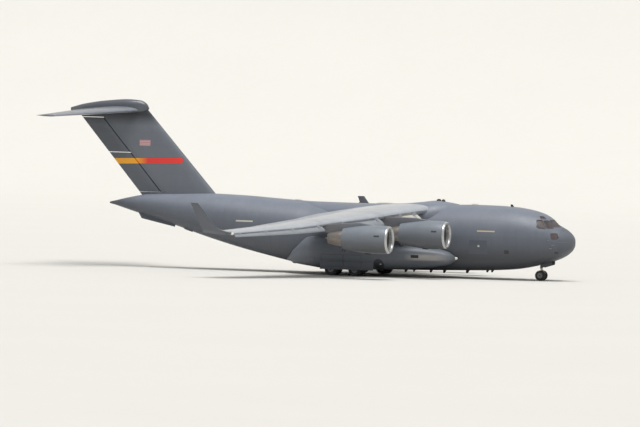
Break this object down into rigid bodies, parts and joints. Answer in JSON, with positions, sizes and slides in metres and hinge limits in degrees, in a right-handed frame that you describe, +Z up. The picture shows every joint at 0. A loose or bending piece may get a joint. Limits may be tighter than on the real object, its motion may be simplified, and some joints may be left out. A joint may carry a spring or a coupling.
{
  "type": "half-size military transport aeroplane",
  "caption": "Half-size high-wing military jet transport on its landing gear, with T-tail, winglets, hollow hold, loading ramp, turning wheels and fans, and hinged control surfaces.",
  "frame": {"origin": "centre of the bounding box on the ground plane that the tyres stand on", "axes": "+X to the nose, +Y to port, +Z up"},
  "size_m": [26.52, 25.9052, 8.3867],
  "materials": {
    "hull_paint": "matte",
    "radome_paint": "matte",
    "wing_paint": "matte",
    "tail_paint": "matte",
    "engine_paint": "satin",
    "cabin_paint": "matte",
    "gear_paint": "gloss",
    "fan_metal": "satin",
    "glass": "polished",
    "tyre": "matte"
  },
  "bodies": {
    "airframe": {"cockpit_glazing": "glass", "engine_inboard_left": "engine_paint", "engine_inboard_right": "engine_paint", "engine_outboard_left": "engine_paint", "engine_outboard_right": "engine_paint", "fin": "tail_paint", "flight_deck": "cabin_paint", "fuselage_aft": "hull_paint", "fuselage_centre": "hull_paint", "fuselage_forward": "hull_paint", "gear_pod_left": "hull_paint", "gear_pod_right": "hull_paint", "hold_floor": "cabin_paint", "leading_edge_left": "wing_paint", "leading_edge_right": "wing_paint", "main_leg_front_left": "gear_paint", "main_leg_front_right": "gear_paint", "main_leg_rear_left": "gear_paint", "main_leg_rear_right": "gear_paint", "nose_gear_door_left": "hull_paint", "nose_gear_door_right": "hull_paint", "nose_leg": "gear_paint", "nose_section": "hull_paint", "pylon_inboard_left": "hull_paint", "pylon_inboard_right": "hull_paint", "pylon_outboard_left": "hull_paint", "pylon_outboard_right": "hull_paint", "radome": "radome_paint", "tailplane": "tail_paint", "wing_left": "wing_paint", "wing_right": "wing_paint", "wing_root_fairing": "wing_paint"},
    "aileron_left": {"aileron_left": "wing_paint"},
    "aileron_right": {"aileron_right": "wing_paint"},
    "cargo_door": {"cargo_door": "hull_paint"},
    "crew_door": {"crew_door": "hull_paint"},
    "elevator_left": {"elevator_left": "tail_paint"},
    "elevator_right": {"elevator_right": "tail_paint"},
    "fan_inboard_left": {"fan_inboard_left": "fan_metal"},
    "fan_inboard_right": {"fan_inboard_right": "fan_metal"},
    "fan_outboard_left": {"fan_outboard_left": "fan_metal"},
    "fan_outboard_right": {"fan_outboard_right": "fan_metal"},
    "flap_inner_left": {"flap_inner_left": "wing_paint"},
    "flap_inner_right": {"flap_inner_right": "wing_paint"},
    "flap_outer_left": {"flap_outer_left": "wing_paint"},
    "flap_outer_right": {"flap_outer_right": "wing_paint"},
    "loading_ramp": {"loading_ramp": "hull_paint"},
    "main_wheels_front_left": {"main_wheels_front_left": "tyre"},
    "main_wheels_front_right": {"main_wheels_front_right": "tyre"},
    "main_wheels_rear_left": {"main_wheels_rear_left": "tyre"},
    "main_wheels_rear_right": {"main_wheels_rear_right": "tyre"},
    "nose_fork": {"nose_fork": "gear_paint"},
    "nose_wheels": {"nose_wheels": "tyre"},
    "rudder_lower": {"rudder_lower": "tail_paint"},
    "rudder_upper": {"rudder_upper": "tail_paint"}
  },
  "joints": [
    {"name": "nose_steering", "type": "hinge", "parent": "airframe", "child": "nose_fork", "pos_m": [11.585, 0, 0.6], "axis": [0, 0, 1], "range_deg": [-65, 65]},
    {"name": "nose_wheels_spin", "type": "hinge", "parent": "nose_fork", "child": "nose_wheels", "pos_m": [11.585, 0, 0.254], "axis": [0, 1, 0], "continuous": true},
    {"name": "main_wheels_front_right_spin", "type": "hinge", "parent": "airframe", "child": "main_wheels_front_right", "pos_m": [2.785, -2.2, 0.3175], "axis": [0, 1, 0], "continuous": true},
    {"name": "main_wheels_rear_right_spin", "type": "hinge", "parent": "airframe", "child": "main_wheels_rear_right", "pos_m": [1.56, -2.2, 0.3175], "axis": [0, 1, 0], "continuous": true},
    {"name": "fan_inboard_right_spin", "type": "hinge", "parent": "airframe", "child": "fan_inboard_right", "pos_m": [7.16, -3.625, 2.175], "axis": [1, 0, 0], "continuous": true},
    {"name": "fan_outboard_right_spin", "type": "hinge", "parent": "airframe", "child": "fan_outboard_right", "pos_m": [5.335, -7.05, 1.95], "axis": [1, 0, 0], "continuous": true},
    {"name": "flap_inner_right_drop", "type": "hinge", "parent": "airframe", "child": "flap_inner_right", "pos_m": [1.85507, -1.975, 2.78311], "axis": [-0.1838, -0.9809, -0.0628], "range_deg": [0, 40]},
    {"name": "flap_outer_right_drop", "type": "hinge", "parent": "airframe", "child": "flap_outer_right", "pos_m": [1.26852, -4.975, 2.58849], "axis": [-0.3095, -0.9481, -0.0734], "range_deg": [0, 40]},
    {"name": "aileron_right_turn", "type": "hinge", "parent": "airframe", "child": "aileron_right", "pos_m": [-0.05797, -8.875, 2.41855], "axis": [-0.3196, -0.9456, -0.0603], "range_deg": [-22, 22]},
    {"name": "elevator_right_turn", "type": "hinge", "parent": "airframe", "child": "elevator_right", "pos_m": [-11.72089, -0.475, 7.84085], "axis": [-0.265, -0.9616, -0.0722], "range_deg": [-20, 20]},
    {"name": "main_wheels_front_left_spin", "type": "hinge", "parent": "airframe", "child": "main_wheels_front_left", "pos_m": [2.785, 2.2, 0.3175], "axis": [0, 1, 0], "continuous": true},
    {"name": "main_wheels_rear_left_spin", "type": "hinge", "parent": "airframe", "child": "main_wheels_rear_left", "pos_m": [1.56, 2.2, 0.3175], "axis": [0, 1, 0], "continuous": true},
    {"name": "fan_inboard_left_spin", "type": "hinge", "parent": "airframe", "child": "fan_inboard_left", "pos_m": [7.16, 3.625, 2.175], "axis": [1, 0, 0], "continuous": true},
    {"name": "fan_outboard_left_spin", "type": "hinge", "parent": "airframe", "child": "fan_outboard_left", "pos_m": [5.335, 7.05, 1.95], "axis": [1, 0, 0], "continuous": true},
    {"name": "flap_inner_left_drop", "type": "hinge", "parent": "airframe", "child": "flap_inner_left", "pos_m": [1.85507, 1.975, 2.78311], "axis": [0.1838, -0.9809, 0.0628], "range_deg": [0, 40]},
    {"name": "flap_outer_left_drop", "type": "hinge", "parent": "airframe", "child": "flap_outer_left", "pos_m": [1.26852, 4.975, 2.58849], "axis": [0.3095, -0.9481, 0.0734], "range_deg": [0, 40]},
    {"name": "aileron_left_turn", "type": "hinge", "parent": "airframe", "child": "aileron_left", "pos_m": [-0.05797, 8.875, 2.41855], "axis": [0.3196, -0.9456, 0.0603], "range_deg": [-22, 22]},
    {"name": "elevator_left_turn", "type": "hinge", "parent": "airframe", "child": "elevator_left", "pos_m": [-11.72089, 0.475, 7.84085], "axis": [0.265, -0.9616, 0.0722], "range_deg": [-20, 20]},
    {"name": "rudder_lower_turn", "type": "hinge", "parent": "airframe", "child": "rudder_lower", "pos_m": [-9.08586, 0, 4.7], "axis": [-0.6562, 0, 0.7546], "range_deg": [-22, 22]},
    {"name": "rudder_upper_turn", "type": "hinge", "parent": "airframe", "child": "rudder_upper", "pos_m": [-10.78154, 0, 6.65], "axis": [-0.6562, 0, 0.7546], "range_deg": [-22, 22]},
    {"name": "ramp_lower", "type": "hinge", "parent": "airframe", "child": "loading_ramp", "pos_m": [-0.99, 0, 0.47465], "axis": [0, -1, 0], "range_deg": [0, 20]},
    {"name": "cargo_door_lift", "type": "hinge", "parent": "airframe", "child": "cargo_door", "pos_m": [-6.84, 0, 2.53098], "axis": [0, -1, 0], "range_deg": [0, 22]},
    {"name": "crew_door_open", "type": "hinge", "parent": "airframe", "child": "crew_door", "pos_m": [10.36, 1.3875, 1.0475], "axis": [-1, 0, 0], "range_deg": [0, 115]}
  ]
}
